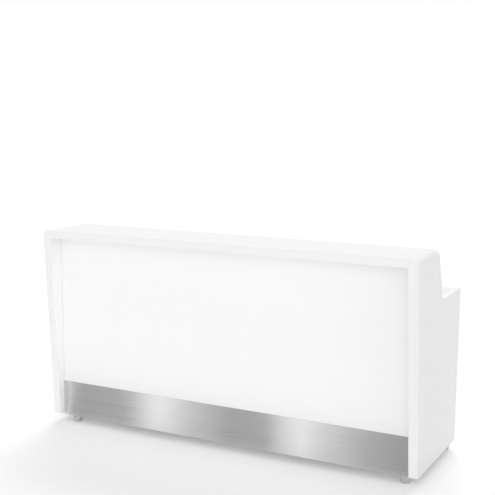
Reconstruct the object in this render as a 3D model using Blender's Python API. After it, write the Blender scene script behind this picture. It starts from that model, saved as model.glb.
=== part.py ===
"""Illuminated bar counter: a lacquered bridge-shaped body round a lit front.

Metres, +Z up. X runs along the counter, the guests stand at -Y and the staff at +Y.
The origin is on the floor, under the middle of the counter's box.
"""
import math

import bmesh
import bpy
from mathutils import Vector

# Overall sizes of the counter
LENGTH = 2.130
DEPTH = 0.743
HEIGHT = 1.100
FOOT_HEIGHT = 0.045

# Body profile, seen from the end
PANEL = 0.044
BAR_DEPTH = 0.341
FRONT_OVERHANG = 0.066
RISER_SETBACK = 0.082
REAR_UNDERCUT = 0.053
WORK_HEIGHT = 0.841
CORNER_RADIUS = 0.040
TOE_RADIUS = 0.012
ARRIS = 0.0015

# Boards of the carcass
BOARD = 0.018
RISER = 0.018
WORK_TOP = 0.030
RISER_HOUSING = 0.006
BOTTOM_BOARD = 0.022
BACK_BOARD = 0.016
BOARD_INSET = 0.004
BATTEN = 0.022
BAYS = 3
SHELF_HEIGHT = 0.440

# Stainless plinth
PLINTH_HEIGHT = 0.1965
PLINTH_DROP = 0.0075
PLATE = 0.0012
PLATE_BEND = 0.0008
HEM_GAP = 0.0006
HEM = 0.0070

# Lit front
DIFFUSER = 0.005
DIFFUSER_SETBACK = 0.036
DIFFUSER_SIDE_GAP = 0.0025
CHANNEL_WALL = 0.0015
CHANNEL_PLAY = 0.0005
CHANNEL_LOW = 0.008
CHANNEL_HIGH = 0.016
LIFT_CLEARANCE = 0.0015
LIGHT_BOX = 0.085

# Lamps behind the diffuser
LED_ROWS = 4
LED_PITCH = 0.0667
LED_PACKAGE = 0.005
LED_PACKAGE_HEIGHT = 0.0012
LED_END_INSET = 0.050
TAPE_WIDTH = 0.010
TAPE = 0.0010
RAIL_PLAY = 0.0015
RAIL_WALL = 0.0015
RAIL_DEPTH = 0.008

# Power supply in the plinth
DRIVER_LENGTH = 0.240
DRIVER_WIDTH = 0.062
DRIVER_HEIGHT = 0.036
DRIVER_FIN = 0.006
DRIVER_FINS = 7
DRIVER_INSET = 0.180
LEAD_RADIUS = 0.0025
LEAD_CLEARANCE = 0.001
LEAD_TAIL = 0.025
LEAD_BEND = 0.015

# Mains inlet with its rocker switch
INLET_FROM_DRIVER = 0.100
INLET_ABOVE_BOARD = 0.080
INLET_WIDTH = 0.058
INLET_HEIGHT = 0.032
INLET_FLANGE = 0.0025
INLET_LIP = 0.004
INLET_CORNER = 0.003
INLET_BODY_DEPTH = 0.030
INLET_PLAY = 0.0005
SOCKET_WIDTH = 0.0245
SOCKET_HEIGHT = 0.0170
SOCKET_DEPTH = 0.018
SOCKET_OFFSET = 0.0115
SOCKET_CORNER = 0.0045
PIN_LENGTH = 0.013
PIN_WIDTH = 0.0040
PIN_THICKNESS = 0.0020
PIN_PITCH = 0.0070
PIN_DROP = 0.0010
PIN_RISE = 0.0020
ROCKER_WIDTH = 0.0130
ROCKER_HEIGHT = 0.0210
ROCKER_OFFSET = 0.0150
ROCKER_DEPTH = 0.0075
ROCKER_PLAY = 0.0005
ROCKER_TILT = 8.0
ROCKER_WELL = 0.0120
PIVOT_RADIUS = 0.0012
PIVOT_LENGTH = 0.0014
PIVOT_PLAY = 0.00015

# Levelling feet
FOOT_DIAMETER = 0.052
FOOT_EDGE = 0.004
FOOT_INSET_LEFT = 0.113
FOOT_INSET_RIGHT = 0.078
FOOT_INSET_REAR = 0.045
FOOT_FRONT_SETBACK = 0.0625
FOOT_REAR_SETBACK = 0.032
FLANGE = 0.003
POST_DIAMETER = 0.034
POST_PLAY = 0.0003
SLEEVE_FLOOR = 0.006
SLEEVE_TOP_GAP = 0.0004
SOLE_DIAMETER = 0.042
SOLE = 0.003
SOLE_PROUD = 0.001

# Gap that seated pieces keep
GAP = 0.0003

# Facets of round pieces and of rounded edges
ROUND_FACETS = 32
PIN_FACETS = 12
LEAD_RINGS = 2
CORNER_STEPS = 10
TOE_STEPS = 5
ARRIS_STEPS = 2
BEND_STEPS = 4
LEAD_STEPS = 6
SMOOTH_BELOW = 35.0

# Lines and planes that follow from the sizes
FRONT_TOP_Y = -DEPTH / 2
FRONT_TOE_Y = FRONT_TOP_Y + FRONT_OVERHANG
WORK_REAR_Y = DEPTH / 2
SOFFIT_Z = HEIGHT - PANEL
INNER_X = LENGTH / 2 - PANEL
PLINTH_LOW_Z = FOOT_HEIGHT - PLINTH_DROP
PLINTH_TOP_Z = PLINTH_LOW_Z + PLINTH_HEIGHT
BOTTOM_TOP_Z = FOOT_HEIGHT + BOTTOM_BOARD
BACKING_TOP_Z = PLINTH_TOP_Z - CHANNEL_LOW - GAP
DIFFUSER_Y = FRONT_TOE_Y + DIFFUSER_SETBACK
CHANNEL_FRONT_Y = DIFFUSER_Y - CHANNEL_PLAY - CHANNEL_WALL
CHANNEL_REAR_Y = DIFFUSER_Y + DIFFUSER + CHANNEL_PLAY + CHANNEL_WALL
PLINTH_Y = CHANNEL_FRONT_Y - GAP - PLATE
BOARD_FRONT_Y = PLINTH_Y + PLATE + GAP
BACK_FRONT_Y = DIFFUSER_Y + DIFFUSER + LIGHT_BOX
BACK_REAR_Y = BACK_FRONT_Y + BACK_BOARD


def front_y(z):
    """Front plane of the end panels and of the bar top, which leans out upwards."""
    return FRONT_TOP_Y + FRONT_OVERHANG * (HEIGHT - z) / (HEIGHT - FOOT_HEIGHT)


def riser_y(z):
    """Staff side of the riser between the bar top and the work top."""
    return FRONT_TOP_Y + BAR_DEPTH + RISER_SETBACK * (HEIGHT - z) / (HEIGHT - WORK_HEIGHT)


def rear_y(z):
    """Rear edge of the lower part, which draws in towards the floor."""
    return WORK_REAR_Y - REAR_UNDERCUT * (WORK_HEIGHT - z) / (WORK_HEIGHT - FOOT_HEIGHT)


def finish(name, colour, roughness, metallic=0.0, glow=0.0):
    """A material with one Principled shader."""
    material = bpy.data.materials.new(name)
    material.use_nodes = True
    shader = material.node_tree.nodes["Principled BSDF"]
    shader.inputs["Base Color"].default_value = (*colour, 1.0)
    shader.inputs["Roughness"].default_value = roughness
    shader.inputs["Metallic"].default_value = metallic
    if glow:
        shader.inputs["Emission Color"].default_value = (*colour, 1.0)
        shader.inputs["Emission Strength"].default_value = glow
    return material


def add_piece(name, mesh, material, origin=None, smooth=False):
    """Turn a bmesh in world space into a named object with its origin set."""
    bmesh.ops.remove_doubles(mesh, verts=mesh.verts, dist=0.000001)
    bmesh.ops.recalc_face_normals(mesh, faces=mesh.faces)
    if origin is None:
        low = [min(v.co[i] for v in mesh.verts) for i in range(3)]
        high = [max(v.co[i] for v in mesh.verts) for i in range(3)]
        origin = [(a + b) / 2 for a, b in zip(low, high)]
    origin = Vector(origin)
    bmesh.ops.translate(mesh, verts=mesh.verts, vec=-origin)
    data = bpy.data.meshes.new(name)
    mesh.to_mesh(data)
    mesh.free()
    if smooth:
        data.shade_smooth()
        data.set_sharp_from_angle(angle=math.radians(SMOOTH_BELOW))
    data.materials.append(material)
    piece = bpy.data.objects.new(name, data)
    piece.location = origin
    bpy.context.scene.collection.objects.link(piece)
    return piece


def extrude_along_x(outline, x_low, x_high):
    """A closed prism whose end view is the outline, a list of (y, z) points."""
    mesh = bmesh.new()
    low = [mesh.verts.new((x_low, y, z)) for y, z in outline]
    high = [mesh.verts.new((x_high, y, z)) for y, z in outline]
    mesh.faces.new(low)
    mesh.faces.new(high)
    for i, (a, b) in enumerate(zip(low, high)):
        j = (i + 1) % len(low)
        mesh.faces.new((a, low[j], high[j], b))
    bmesh.ops.recalc_face_normals(mesh, faces=mesh.faces)
    return mesh


def round_edges(mesh, edges, radius, segments):
    """Round the given edges to a true arc."""
    bmesh.ops.bevel(mesh, geom=edges, offset=radius, segments=segments, profile=0.5,
                    affect="EDGES", clamp_overlap=True)


def outward_edges(mesh, least_angle=50.0):
    """The edges where two faces meet at an outward corner."""
    mesh.normal_update()
    sharp = math.radians(least_angle)
    return [e for e in mesh.edges if e.calc_face_angle_signed(0.0) > sharp]


def long_edges(mesh):
    """The outward edges that run along X."""
    return [e for e in outward_edges(mesh, 20.0)
            if abs(e.verts[0].co.x - e.verts[1].co.x) > 0.02]


def rectangle(y_low, y_high, z_low, z_high):
    return [(y_low, z_low), (y_high, z_low), (y_high, z_high), (y_low, z_high)]


def board(name, x_low, x_high, outline, material, softened=True):
    """A board along X, its long edges eased as a joiner's sander leaves them."""
    mesh = extrude_along_x(outline, x_low, x_high)
    if softened:
        round_edges(mesh, long_edges(mesh), ARRIS, ARRIS_STEPS)
    return add_piece(name, mesh, material)


def turned(name, profile, centre, material, facets=ROUND_FACETS):
    """A piece turned round a vertical axis from (radius, z) points; radius 0 is a pole."""
    mesh = bmesh.new()
    rings = []
    for radius, z in profile:
        if radius == 0.0:
            rings.append([mesh.verts.new((centre[0], centre[1], z))])
            continue
        ring = []
        for k in range(facets):
            turn = 2 * math.pi * k / facets
            x = centre[0] + radius * math.cos(turn)
            y = centre[1] + radius * math.sin(turn)
            ring.append(mesh.verts.new((x, y, z)))
        rings.append(ring)
    for a, b in zip(rings, rings[1:]):
        for k in range(facets):
            n = (k + 1) % facets
            corners = [a[k % len(a)], a[n % len(a)], b[n % len(b)], b[k % len(b)]]
            mesh.faces.new(list(dict.fromkeys(corners)))
    origin = (centre[0], centre[1], 0.0)
    return add_piece(name, mesh, material, origin=origin, smooth=True)


def arc(centre_r, centre_z, radius, start, stop, steps):
    """Points of an arc in a turned profile, its angles in degrees."""
    points = []
    for k in range(steps + 1):
        turn = math.radians(start + (stop - start) * k / steps)
        points.append((centre_r + radius * math.cos(turn), centre_z + radius * math.sin(turn)))
    return points


def add_boolean(piece, cutter, operation="DIFFERENCE"):
    """Cut or join with a hidden solid."""
    cutter.hide_render = True
    cutter.display_type = "WIRE"
    step = piece.modifiers.new(cutter.name, "BOOLEAN")
    step.operation = operation
    step.solver = "EXACT"
    step.object = cutter


def box_solid(name, low, high, material):
    mesh = extrude_along_x(rectangle(low[1], high[1], low[2], high[2]), low[0], high[0])
    return add_piece(name, mesh, material)


def upright_pin(name, centre, z_low, z_high, radius, material, facets=PIN_FACETS):
    profile = [(0.0, z_low), (radius, z_low), (radius, z_high), (0.0, z_high)]
    return turned(name, profile, centre, material, facets)


# A fresh start
for old in list(bpy.data.objects):
    bpy.data.objects.remove(old)

lacquer = finish("white_lacquer", (0.86, 0.86, 0.85), 0.32)
carcass = finish("white_board", (0.82, 0.82, 0.81), 0.45)
opal = finish("opal_acrylic", (0.50, 0.50, 0.50), 0.40, glow=0.42)
stainless = finish("brushed_stainless", (0.60, 0.60, 0.59), 0.30, metallic=1.0)
aluminium = finish("natural_aluminium", (0.78, 0.78, 0.79), 0.35, metallic=1.0)
white_coat = finish("white_coat", (0.86, 0.86, 0.85), 0.40)
tape_white = finish("led_tape", (0.90, 0.90, 0.84), 0.50, glow=0.9)
black_plastic = finish("black_plastic", (0.03, 0.03, 0.03), 0.40)
lead_white = finish("lead_sheath", (0.80, 0.80, 0.78), 0.50)
sole_rubber = finish("sole_rubber", (0.06, 0.06, 0.06), 0.80)


# End panels
# Each is one thick lacquered slab; its outer top edge is rounded from front to back, and so
# are the front and the rear of its foot.
def end_panel(name, side):
    outline = [
        (front_y(FOOT_HEIGHT), FOOT_HEIGHT),
        (front_y(HEIGHT), HEIGHT),
        (riser_y(HEIGHT), HEIGHT),
        (riser_y(WORK_HEIGHT), WORK_HEIGHT),
        (rear_y(WORK_HEIGHT), WORK_HEIGHT),
        (rear_y(FOOT_HEIGHT), FOOT_HEIGHT),
    ]
    outer = side * LENGTH / 2
    inner = side * INNER_X
    mesh = extrude_along_x(outline, min(outer, inner), max(outer, inner))

    def at(edge, x, z):
        return all(abs(v.co.x - x) < 1e-5 and abs(v.co.z - z) < 1e-5 for v in edge.verts)

    def across(edge, z):
        return all(abs(v.co.z - z) < 1e-5 for v in edge.verts) and abs(
            edge.verts[0].co.x - edge.verts[1].co.x) > 1e-5

    corner = [e for e in mesh.edges if at(e, outer, HEIGHT)]
    round_edges(mesh, corner, min(CORNER_RADIUS, PANEL - 2 * ARRIS), CORNER_STEPS)
    toes = [e for e in mesh.edges if across(e, FOOT_HEIGHT)]
    round_edges(mesh, toes, TOE_RADIUS, TOE_STEPS)
    round_edges(mesh, outward_edges(mesh), ARRIS, ARRIS_STEPS)
    return add_piece(name, mesh, lacquer, smooth=True)


end_panel("end_panel_left", -1)
end_panel("end_panel_right", 1)

# Bar top
# A slab as thick as the end panels, let in between them, its front edge on the leaning plane.
SEAT_X = INNER_X - GAP
board("bar_top", -SEAT_X, SEAT_X, [
    (front_y(SOFFIT_Z), SOFFIT_Z),
    (front_y(HEIGHT), HEIGHT),
    (riser_y(HEIGHT), HEIGHT),
    (riser_y(SOFFIT_Z), SOFFIT_Z),
], lacquer)

# Riser and the two battens that it is screwed to
HOUSING_Z = WORK_HEIGHT - RISER_HOUSING
RISER_LOW_Z = HOUSING_Z + GAP
RISER_TOP_Z = SOFFIT_Z - GAP
board("riser_panel", -SEAT_X, SEAT_X, [
    (riser_y(RISER_LOW_Z) - RISER, RISER_LOW_Z),
    (riser_y(RISER_LOW_Z), RISER_LOW_Z),
    (riser_y(RISER_TOP_Z), RISER_TOP_Z),
    (riser_y(RISER_TOP_Z) - RISER, RISER_TOP_Z),
], lacquer, softened=False)


def batten(name, z_low, z_high):
    """A batten whose rear face follows the lean of the riser."""
    rear_low = riser_y(z_low) - RISER - GAP
    rear_high = riser_y(z_high) - RISER - GAP
    front = min(rear_low, rear_high) - BATTEN
    board(name, -SEAT_X, SEAT_X,
          [(front, z_low), (rear_low, z_low), (rear_high, z_high), (front, z_high)],
          carcass, softened=False)


batten("riser_batten_top", RISER_TOP_Z - BATTEN, RISER_TOP_Z)
batten("riser_batten_low", RISER_LOW_Z, RISER_LOW_Z + BATTEN)

# Work top
# It runs on under the bar, where a rebate lets the foot of the riser in.
WORK_LOW_Z = WORK_HEIGHT - WORK_TOP
board("work_top", -SEAT_X, SEAT_X, [
    (BACK_REAR_Y + GAP, WORK_LOW_Z),
    (rear_y(WORK_LOW_Z), WORK_LOW_Z),
    (rear_y(WORK_HEIGHT), WORK_HEIGHT),
    (riser_y(WORK_HEIGHT) + GAP, WORK_HEIGHT),
    (riser_y(HOUSING_Z) + GAP, HOUSING_Z),
    (BACK_REAR_Y + GAP, HOUSING_Z),
], lacquer)


# Carcass boards
def carcass_rear(z):
    return rear_y(z) - BOARD_INSET


def deep_board(name, x_low, x_high, y_front, z_low, z_high):
    """A carcass board that reaches the open rear, its rear edge on the lean."""
    outline = [(y_front, z_low), (carcass_rear(z_low), z_low),
               (carcass_rear(z_high), z_high), (y_front, z_high)]
    return board(name, x_low, x_high, outline, carcass, softened=False)


board("bottom_board", -SEAT_X, SEAT_X, [
    (BOARD_FRONT_Y, FOOT_HEIGHT),
    (carcass_rear(FOOT_HEIGHT), FOOT_HEIGHT),
    (carcass_rear(BOTTOM_TOP_Z), BOTTOM_TOP_Z),
    (BOARD_FRONT_Y, BOTTOM_TOP_Z),
], carcass, softened=False)
back_panel = board("back_panel", -SEAT_X, SEAT_X,
                   rectangle(BACK_FRONT_Y, BACK_REAR_Y, BOTTOM_TOP_Z + GAP, SOFFIT_Z - GAP),
                   carcass, softened=False)

BAY_FRONT_Y = BACK_REAR_Y + GAP
BAY_WIDTH = (2 * INNER_X - (BAYS - 1) * BOARD) / BAYS
BAY_NAMES = ["left", "centre", "right"] if BAYS == 3 else [str(k + 1) for k in range(BAYS)]
for bay in range(BAYS):
    bay_low = -INNER_X + bay * (BAY_WIDTH + BOARD)
    bay_high = bay_low + BAY_WIDTH
    if bay > 0:
        deep_board(f"partition_{bay}", bay_low - BOARD, bay_low, BAY_FRONT_Y,
                   BOTTOM_TOP_Z + GAP, WORK_LOW_Z - GAP)
    deep_board(f"shelf_{BAY_NAMES[bay]}", bay_low + GAP, bay_high - GAP, BAY_FRONT_Y,
               SHELF_HEIGHT - BOARD, SHELF_HEIGHT)


# Plinth
# The stainless sheet stands before the channel's lip, flush with the opal sheet to the eye.
# It hangs a little below the bottom board, and its lower edge is hemmed.
def folded_sheet(path, thickness, bend, steps=BEND_STEPS):
    """Outline of a sheet along a path of (y, z) corners, each bend an arc."""
    points = [Vector(p) for p in path]
    middle = [points[0]]
    for before, corner, after in zip(points, points[1:], points[2:]):
        into = (before - corner).normalized()
        out = (after - corner).normalized()
        centre = corner + (into + out) * bend
        for k in range(steps + 1):
            blend = k / steps
            turn = math.radians(90 * blend)
            middle.append(centre - out * bend * math.cos(turn) - into * bend * math.sin(turn))
    middle.append(points[-1])
    one_side = []
    other_side = []
    for k, here in enumerate(middle):
        along = (middle[min(k + 1, len(middle) - 1)] - middle[max(k - 1, 0)]).normalized()
        across = Vector((-along.y, along.x)) * thickness / 2
        one_side.append(tuple(here + across))
        other_side.append(tuple(here - across))
    return one_side + other_side[::-1]


half_plate = PLATE / 2
hem_y = PLINTH_Y + half_plate + PLATE + HEM_GAP
plate_path = [
    (PLINTH_Y + half_plate, PLINTH_TOP_Z),
    (PLINTH_Y + half_plate, PLINTH_LOW_Z + half_plate),
    (hem_y, PLINTH_LOW_Z + half_plate),
    (hem_y, PLINTH_LOW_Z + HEM),
]
plate_mesh = extrude_along_x(folded_sheet(plate_path, PLATE, PLATE_BEND), -SEAT_X, SEAT_X)
add_piece("plinth_plate", plate_mesh, stainless, smooth=True)

BACKING_REAR_Y = BOARD_FRONT_Y + BOARD
board("plinth_backing", -SEAT_X, SEAT_X,
      rectangle(BOARD_FRONT_Y, BACKING_REAR_Y, BOTTOM_TOP_Z + GAP, BACKING_TOP_Z),
      carcass, softened=False)

floor_low_z = BACKING_TOP_Z - BOARD
floor_outline = rectangle(BACKING_REAR_Y + GAP, BACK_FRONT_Y - GAP, floor_low_z, BACKING_TOP_Z)
light_box_floor = board("light_box_floor", -SEAT_X, SEAT_X, floor_outline, carcass,
                        softened=False)


# Lit front
# The opal sheet lifts into the deep upper channel and then clears the shallow lower one.
def channel(name, z_base, z_lip):
    """A U-section whose base lies at z_base and whose lips reach z_lip."""
    wall = math.copysign(CHANNEL_WALL, z_lip - z_base)
    outline = [
        (CHANNEL_FRONT_Y, z_base),
        (CHANNEL_REAR_Y, z_base),
        (CHANNEL_REAR_Y, z_lip),
        (CHANNEL_REAR_Y - CHANNEL_WALL, z_lip),
        (CHANNEL_REAR_Y - CHANNEL_WALL, z_base + wall),
        (CHANNEL_FRONT_Y + CHANNEL_WALL, z_base + wall),
        (CHANNEL_FRONT_Y + CHANNEL_WALL, z_lip),
        (CHANNEL_FRONT_Y, z_lip),
    ]
    add_piece(name, extrude_along_x(outline, -SEAT_X, SEAT_X), white_coat)


CHANNEL_LOW_Z = BACKING_TOP_Z + GAP
CHANNEL_HIGH_Z = SOFFIT_Z - GAP
channel("diffuser_channel_low", CHANNEL_LOW_Z, CHANNEL_LOW_Z + CHANNEL_LOW)
channel("diffuser_channel_top", CHANNEL_HIGH_Z, CHANNEL_HIGH_Z - CHANNEL_HIGH)

lift = CHANNEL_LOW - CHANNEL_WALL + LIFT_CLEARANCE
DIFFUSER_LOW_Z = CHANNEL_LOW_Z + CHANNEL_WALL + GAP
DIFFUSER_TOP_Z = CHANNEL_HIGH_Z - CHANNEL_WALL - lift
diffuser_x = INNER_X - DIFFUSER_SIDE_GAP
board("front_diffuser", -diffuser_x, diffuser_x,
      rectangle(DIFFUSER_Y, DIFFUSER_Y + DIFFUSER, DIFFUSER_LOW_Z, DIFFUSER_TOP_Z),
      opal, softened=False)

# LED rows
# Each row is an aluminium rail on the back panel with a tape of lamps inside it.
LED_END_X = INNER_X - LED_END_INSET
RAIL_BASE_Y = BACK_FRONT_Y - GAP
TAPE_BASE_Y = RAIL_BASE_Y - RAIL_WALL - GAP
ROW_STEP = (CHANNEL_HIGH_Z - CHANNEL_LOW_Z) / LED_ROWS


def led_rail(name, z_middle):
    half = TAPE_WIDTH / 2 + RAIL_PLAY
    outer = half + RAIL_WALL
    lip_y = RAIL_BASE_Y - RAIL_DEPTH
    base_y = RAIL_BASE_Y - RAIL_WALL
    outline = [
        (RAIL_BASE_Y, z_middle - outer),
        (RAIL_BASE_Y, z_middle + outer),
        (lip_y, z_middle + outer),
        (lip_y, z_middle + half),
        (base_y, z_middle + half),
        (base_y, z_middle - half),
        (lip_y, z_middle - half),
        (lip_y, z_middle - outer),
    ]
    add_piece(name, extrude_along_x(outline, -LED_END_X, LED_END_X), aluminium)


def led_tape(name, z_middle):
    """A tape with a row of lamp packages raised on its face."""
    count = int((2 * LED_END_X - LED_PITCH) / LED_PITCH) + 1
    first = -LED_PITCH * (count - 1) / 2
    half_package = LED_PACKAGE / 2
    x_lines = [-LED_END_X]
    for k in range(count):
        x_lines += [first + k * LED_PITCH - half_package, first + k * LED_PITCH + half_package]
    x_lines.append(LED_END_X)
    z_lines = [z_middle - TAPE_WIDTH / 2, z_middle - half_package,
               z_middle + half_package, z_middle + TAPE_WIDTH / 2]
    mesh = bmesh.new()
    face_y = TAPE_BASE_Y - TAPE
    grid = [[mesh.verts.new((x, face_y, z)) for z in z_lines] for x in x_lines]
    packages = []
    for i in range(len(x_lines) - 1):
        for j in range(len(z_lines) - 1):
            corners = (grid[i][j], grid[i + 1][j], grid[i + 1][j + 1], grid[i][j + 1])
            face = mesh.faces.new(corners)
            if i % 2 == 1 and j == 1:
                packages.append(face)
    rim = [e for e in mesh.edges if e.is_boundary]
    walls = bmesh.ops.extrude_edge_only(mesh, edges=rim)["geom"]
    low_verts = [g for g in walls if isinstance(g, bmesh.types.BMVert)]
    bmesh.ops.translate(mesh, verts=low_verts, vec=(0.0, TAPE, 0.0))
    low_edges = [e for e in mesh.edges if e.is_boundary]
    bmesh.ops.holes_fill(mesh, edges=low_edges, sides=0)
    for face in packages:
        bmesh.ops.inset_individual(mesh, faces=[face], thickness=0.0, depth=0.0)
        bmesh.ops.translate(mesh, verts=face.verts, vec=(0.0, -LED_PACKAGE_HEIGHT, 0.0))
    return add_piece(name, mesh, tape_white)


for row in range(LED_ROWS):
    row_z = CHANNEL_LOW_Z + (row + 0.5) * ROW_STEP
    led_rail(f"led_rail_{row + 1}", row_z)
    led_tape(f"led_tape_{row + 1}", row_z)

# LED driver on the bottom board, behind the plinth
DRIVER_X_HIGH = INNER_X - DRIVER_INSET
DRIVER_X_LOW = DRIVER_X_HIGH - DRIVER_LENGTH
DRIVER_Y = (BACKING_REAR_Y + BACK_FRONT_Y) / 2
DRIVER_LOW_Z = BOTTOM_TOP_Z + GAP
DRIVER_TOP_Z = DRIVER_LOW_Z + DRIVER_HEIGHT
fin_pitch = DRIVER_WIDTH / (2 * DRIVER_FINS - 1)
driver_front_y = DRIVER_Y - DRIVER_WIDTH / 2
driver_rear_y = DRIVER_Y + DRIVER_WIDTH / 2
root_z = DRIVER_TOP_Z - DRIVER_FIN
driver_outline = [(driver_front_y, DRIVER_LOW_Z), (driver_rear_y, DRIVER_LOW_Z)]
for fin in range(DRIVER_FINS):
    right = driver_rear_y - 2 * fin * fin_pitch
    if fin > 0:
        driver_outline.append((right, root_z))
    driver_outline += [(right, DRIVER_TOP_Z), (right - fin_pitch, DRIVER_TOP_Z)]
    if fin < DRIVER_FINS - 1:
        driver_outline.append((right - fin_pitch, root_z))
add_piece("led_driver", extrude_along_x(driver_outline, DRIVER_X_LOW, DRIVER_X_HIGH), aluminium)


# Leads
# Both are held all the way: one from inlet to driver, one from driver up past the rows.
def bent_route(points, bend, steps=LEAD_STEPS):
    """Points along straight runs with every corner bent to a soft curve."""
    knots = [Vector(p) for p in points]
    route = [knots[0]]
    for before, corner, after in zip(knots, knots[1:], knots[2:]):
        reach = min(bend, (corner - before).length / 2, (after - corner).length / 2)
        start = corner + (before - corner).normalized() * reach
        stop = corner + (after - corner).normalized() * reach
        for k in range(steps + 1):
            t = k / steps
            route.append(start * (1 - t) ** 2 + corner * 2 * t * (1 - t) + stop * t ** 2)
    route.append(knots[-1])
    return route


def lead(name, route):
    curve = bpy.data.curves.new(name, "CURVE")
    curve.dimensions = "3D"
    spline = curve.splines.new("POLY")
    spline.points.add(len(route) - 1)
    for point, place in zip(spline.points, route):
        point.co = (*place, 1.0)
    curve.bevel_depth = LEAD_RADIUS
    curve.bevel_resolution = LEAD_RINGS
    curve.use_fill_caps = True
    curve.materials.append(lead_white)
    piece = bpy.data.objects.new(name, curve)
    bpy.context.scene.collection.objects.link(piece)
    return piece


LEAD_Z = DRIVER_LOW_Z + DRIVER_HEIGHT / 2
LED_LEAD_X = LED_END_X + GAP + LEAD_RADIUS
LED_LEAD_Y = BACK_FRONT_Y - GAP - LEAD_RADIUS
top_row_z = CHANNEL_LOW_Z + (LED_ROWS - 0.5) * ROW_STEP
led_lead_route = bent_route([
    (DRIVER_X_HIGH + GAP, DRIVER_Y, LEAD_Z),
    (DRIVER_X_HIGH + LEAD_TAIL, DRIVER_Y, LEAD_Z),
    (LED_LEAD_X - LEAD_TAIL, LED_LEAD_Y, LEAD_Z),
    (LED_LEAD_X, LED_LEAD_Y, LEAD_Z + LEAD_TAIL),
    (LED_LEAD_X, LED_LEAD_Y, top_row_z),
], LEAD_BEND)
lead("led_lead", led_lead_route)

notch_radius = LEAD_RADIUS + LEAD_CLEARANCE
notch = upright_pin("floor_notch_cutter", (LED_LEAD_X, LED_LEAD_Y), floor_low_z - BOARD,
                    BACKING_TOP_Z + BOARD, notch_radius, carcass)
add_boolean(light_box_floor, notch)

# Mains inlet
# Pushed through the back panel from the staff side: a socket with blades and a rocker well.
INLET_X = DRIVER_X_LOW - INLET_FROM_DRIVER
INLET_Z = BOTTOM_TOP_Z + INLET_ABOVE_BOARD
FLANGE_FRONT_Y = BACK_REAR_Y + GAP
INLET_FACE_Y = FLANGE_FRONT_Y + INLET_FLANGE
body_half_width = INLET_WIDTH / 2 - INLET_LIP
body_half_height = INLET_HEIGHT / 2 - INLET_LIP
INLET_DEEP_Y = INLET_FACE_Y - INLET_BODY_DEPTH


def rounded_ring(half_width, half_height, radius, steps=BEND_STEPS):
    """Points (x, z) round a rectangle at the inlet, its corners rounded."""
    points = []
    for corner, (i, j) in enumerate(((1, 1), (-1, 1), (-1, -1), (1, -1))):
        for k in range(steps + 1):
            turn = math.radians(90 * (corner + k / steps))
            x = INLET_X + i * (half_width - radius) + radius * math.cos(turn)
            z = INLET_Z + j * (half_height - radius) + radius * math.sin(turn)
            points.append((x, z))
    return points


def loft_along_y(name, sections):
    """A closed solid through rings of (x, z) points, each at its own y."""
    mesh = bmesh.new()
    rings = [[mesh.verts.new((x, y, z)) for x, z in ring] for y, ring in sections]
    mesh.faces.new(rings[0])
    mesh.faces.new(rings[-1])
    for a, b in zip(rings, rings[1:]):
        for k in range(len(a)):
            n = (k + 1) % len(a)
            mesh.faces.new((a[k], a[n], b[n], b[k]))
    return add_piece(name, mesh, black_plastic)


body_ring = rounded_ring(body_half_width, body_half_height, INLET_CORNER / 2)
flange_ring = rounded_ring(INLET_WIDTH / 2, INLET_HEIGHT / 2, INLET_CORNER)
face_ring = rounded_ring(INLET_WIDTH / 2 - ARRIS, INLET_HEIGHT / 2 - ARRIS,
                         max(INLET_CORNER - ARRIS, ARRIS / 2))
power_inlet = loft_along_y("power_inlet", [
    (INLET_DEEP_Y, body_ring),
    (FLANGE_FRONT_Y, body_ring),
    (FLANGE_FRONT_Y, flange_ring),
    (INLET_FACE_Y - ARRIS, flange_ring),
    (INLET_FACE_Y, face_ring),
])
panel_hole = rounded_ring(body_half_width + INLET_PLAY, body_half_height + INLET_PLAY,
                          INLET_CORNER / 2)
add_boolean(back_panel, loft_along_y("panel_hole_cutter", [
    (BACK_FRONT_Y - BACK_BOARD, panel_hole),
    (BACK_REAR_Y + BACK_BOARD, panel_hole),
]))

# The socket has two cut corners, so that the plug goes in one way up only
socket_x = INLET_X - SOCKET_OFFSET
socket_half = SOCKET_WIDTH / 2
socket_low_z = INLET_Z - SOCKET_HEIGHT / 2
socket_high_z = INLET_Z + SOCKET_HEIGHT / 2
socket_outline = [
    (socket_x - socket_half, socket_low_z),
    (socket_x + socket_half, socket_low_z),
    (socket_x + socket_half, socket_high_z - SOCKET_CORNER),
    (socket_x + socket_half - SOCKET_CORNER, socket_high_z),
    (socket_x - socket_half + SOCKET_CORNER, socket_high_z),
    (socket_x - socket_half, socket_high_z - SOCKET_CORNER),
]
SOCKET_DEEP_Y = INLET_FACE_Y - SOCKET_DEPTH
PAST_FACE_Y = INLET_FACE_Y + INLET_FLANGE
add_boolean(power_inlet, loft_along_y("socket_cutter", [
    (SOCKET_DEEP_Y, socket_outline),
    (PAST_FACE_Y, socket_outline),
]))
for blade, (step_x, lift_z) in enumerate(((-1, -PIN_DROP), (0, PIN_RISE), (1, -PIN_DROP))):
    blade_x = socket_x + step_x * PIN_PITCH
    blade_z = INLET_Z + lift_z
    root = (blade_x - PIN_THICKNESS / 2, SOCKET_DEEP_Y - PIN_THICKNESS, blade_z - PIN_WIDTH / 2)
    tip = (blade_x + PIN_THICKNESS / 2, SOCKET_DEEP_Y + PIN_LENGTH, blade_z + PIN_WIDTH / 2)
    joiner = box_solid(f"blade_{blade}_joiner", root, tip, black_plastic)
    add_boolean(power_inlet, joiner, "UNION")

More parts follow.
